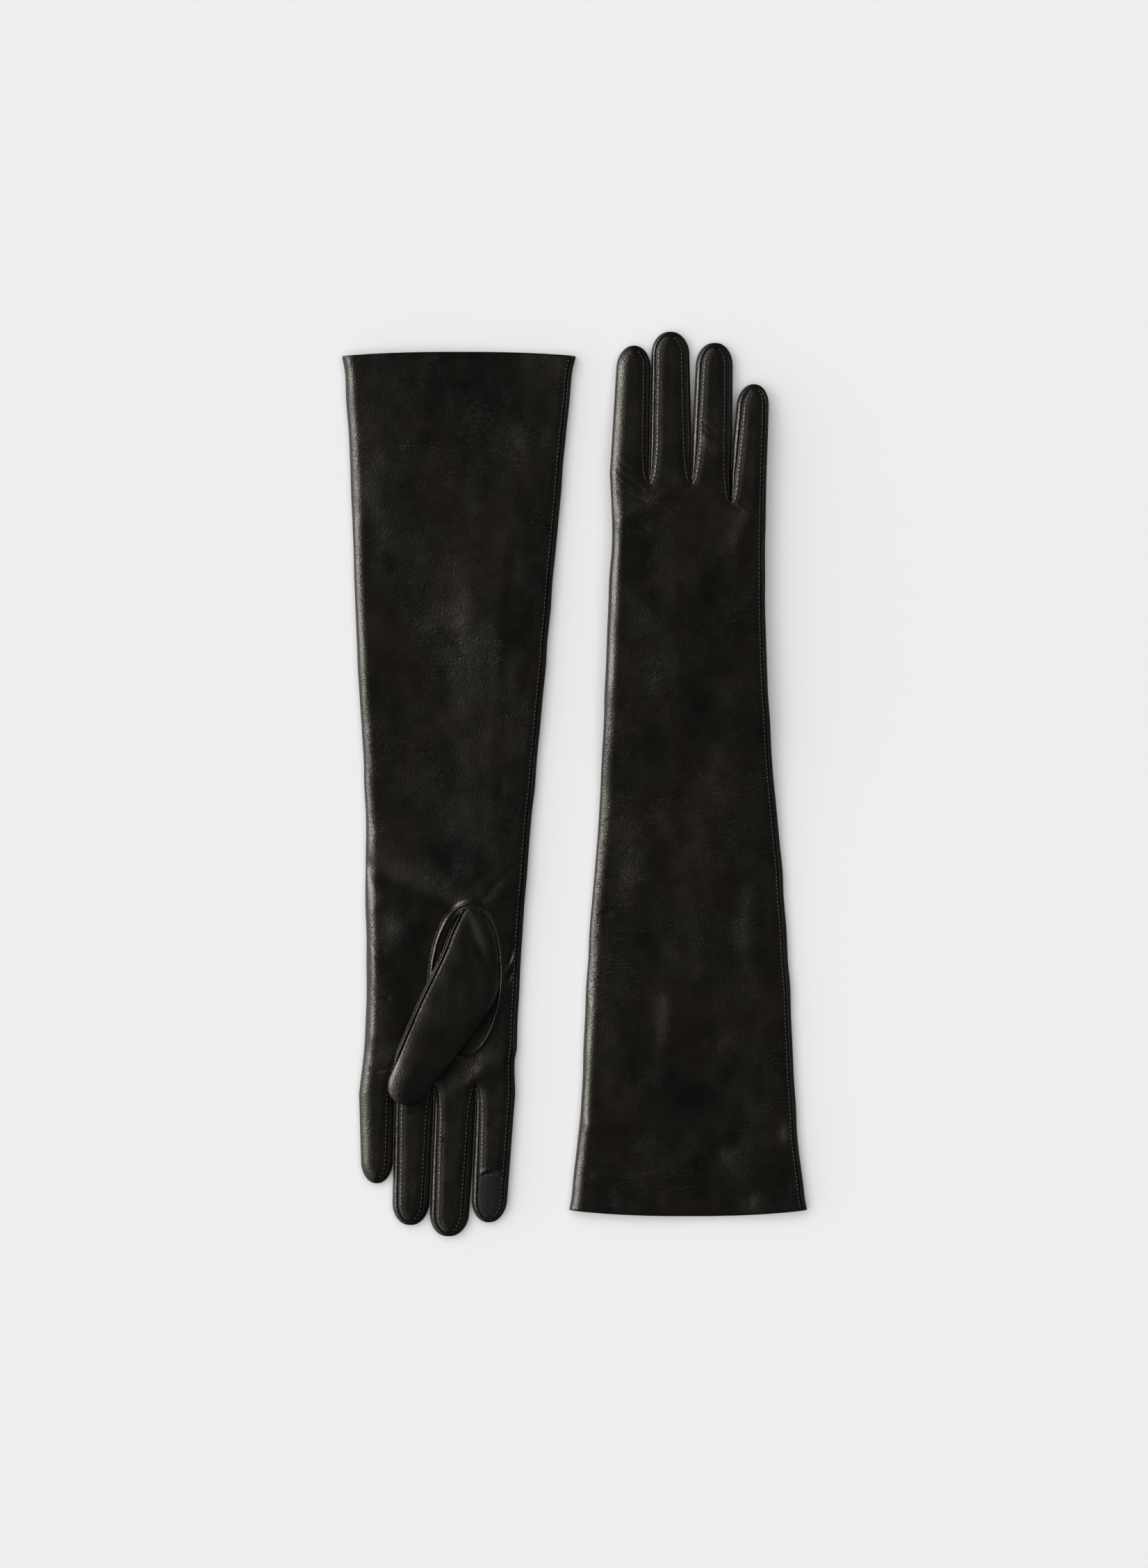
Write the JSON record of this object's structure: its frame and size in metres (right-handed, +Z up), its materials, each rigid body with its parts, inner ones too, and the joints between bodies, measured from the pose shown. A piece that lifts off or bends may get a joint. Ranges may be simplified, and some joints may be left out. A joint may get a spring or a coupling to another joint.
{
  "type": "pair of opera gloves",
  "caption": "Pair of long black leather opera gloves lying flat, one palm up with its thumb across the palm and one back up, with bending fingers and swinging thumbs.",
  "frame": {"origin": "middle of the pair on the surface it lies on", "axes": "+Z up from the surface, +Y along the gloves towards the right glove's fingertips, +X from the left glove to the right glove"},
  "size_m": [0.266, 0.5214, 0.0173],
  "materials": {
    "leather": "smooth black nappa with fine grain and soft sheen",
    "seam_leather": "smooth black nappa, stretched over a sewn seam",
    "touch_cloth": "matte conductive coated cloth",
    "lining": "fine black knit lining"
  },
  "bodies": {
    "left_glove": {"left_back_panel": "leather", "left_crotch_index_middle": "leather", "left_crotch_middle_ring": "leather", "left_crotch_ring_little": "leather", "left_cuff_hem": "leather", "left_index_side_seam": "seam_leather", "left_lining": "lining", "left_little_side_seam": "seam_leather", "left_palm_panel": "leather", "left_thumb_gusset": "leather"},
    "left_index_finger": {"left_index_back": "leather", "left_index_fourchette_middle_side": "leather", "left_index_front": "leather", "left_index_outer_side": "seam_leather", "left_index_touch_tip": "touch_cloth"},
    "left_middle_finger": {"left_middle_back": "leather", "left_middle_fourchette_index_side": "leather", "left_middle_fourchette_ring_side": "leather", "left_middle_front": "leather"},
    "left_ring_finger": {"left_ring_back": "leather", "left_ring_fourchette_little_side": "leather", "left_ring_fourchette_middle_side": "leather", "left_ring_front": "leather"},
    "left_little_finger": {"left_little_back": "leather", "left_little_fourchette_ring_side": "leather", "left_little_front": "leather", "left_little_outer_side": "seam_leather"},
    "left_thumb": {"left_thumb_front": "leather", "left_thumb_back": "leather", "left_thumb_inseam_band": "seam_leather"},
    "right_glove": {"right_back_panel": "leather", "right_crotch_index_middle": "leather", "right_crotch_middle_ring": "leather", "right_crotch_ring_little": "leather", "right_cuff_hem": "leather", "right_index_side_seam": "seam_leather", "right_lining": "lining", "right_little_side_seam": "seam_leather", "right_palm_panel": "leather", "right_thumb_gusset": "leather"},
    "right_index_finger": {"right_index_back": "leather", "right_index_fourchette_middle_side": "leather", "right_index_front": "leather", "right_index_outer_side": "seam_leather", "right_index_touch_tip": "touch_cloth"},
    "right_middle_finger": {"right_middle_back": "leather", "right_middle_fourchette_index_side": "leather", "right_middle_fourchette_ring_side": "leather", "right_middle_front": "leather"},
    "right_ring_finger": {"right_ring_back": "leather", "right_ring_fourchette_little_side": "leather", "right_ring_fourchette_middle_side": "leather", "right_ring_front": "leather"},
    "right_little_finger": {"right_little_back": "leather", "right_little_fourchette_ring_side": "leather", "right_little_front": "leather", "right_little_outer_side": "seam_leather"},
    "right_thumb": {"right_thumb_front": "leather", "right_thumb_back": "leather", "right_thumb_inseam_band": "seam_leather"}
  },
  "joints": [
    {"name": "left_index_bend", "type": "hinge", "parent": "left_glove", "child": "left_index_finger", "pos_m": [-0.0445, -0.20175, 0.009], "axis": [-1, 0, 0], "range_deg": [0, 85]},
    {"name": "left_middle_bend", "type": "hinge", "parent": "left_glove", "child": "left_middle_finger", "pos_m": [-0.0681, -0.20675, 0.009], "axis": [-1, 0, 0], "range_deg": [0, 85]},
    {"name": "left_ring_bend", "type": "hinge", "parent": "left_glove", "child": "left_ring_finger", "pos_m": [-0.0916, -0.20175, 0.009], "axis": [-1, 0, 0], "range_deg": [0, 85]},
    {"name": "left_little_bend", "type": "hinge", "parent": "left_glove", "child": "left_little_finger", "pos_m": [-0.1135, -0.18975, 0.009], "axis": [-1, 0, 0], "range_deg": [0, 85]},
    {"name": "left_thumb_swing", "type": "hinge", "parent": "left_glove", "child": "left_thumb", "pos_m": [-0.0454, -0.11075, 0.00915], "axis": [0, 1, 0], "range_deg": [0, 90]},
    {"name": "right_glove_lift", "type": "slide", "parent": "left_glove", "child": "right_glove", "axis": [0, 0, 1], "range_m": [0, 0.15]},
    {"name": "right_index_bend", "type": "hinge", "parent": "right_glove", "child": "right_index_finger", "pos_m": [0.032, 0.20175, 0.00755], "axis": [-1, 0, 0], "range_deg": [0, 85]},
    {"name": "right_middle_bend", "type": "hinge", "parent": "right_glove", "child": "right_middle_finger", "pos_m": [0.0556, 0.20675, 0.00696], "axis": [-1, 0, 0], "range_deg": [0, 85]},
    {"name": "right_ring_bend", "type": "hinge", "parent": "right_glove", "child": "right_ring_finger", "pos_m": [0.0791, 0.20175, 0.00755], "axis": [-1, 0, 0], "range_deg": [0, 85]},
    {"name": "right_little_bend", "type": "hinge", "parent": "right_glove", "child": "right_little_finger", "pos_m": [0.101, 0.18975, 0.00829], "axis": [-1, 0, 0], "range_deg": [0, 85]},
    {"name": "right_thumb_swing", "type": "hinge", "parent": "right_glove", "child": "right_thumb", "pos_m": [0.0362, 0.11075, 0.00815], "axis": [0, 1, 0], "range_deg": [0, 90]}
  ]
}
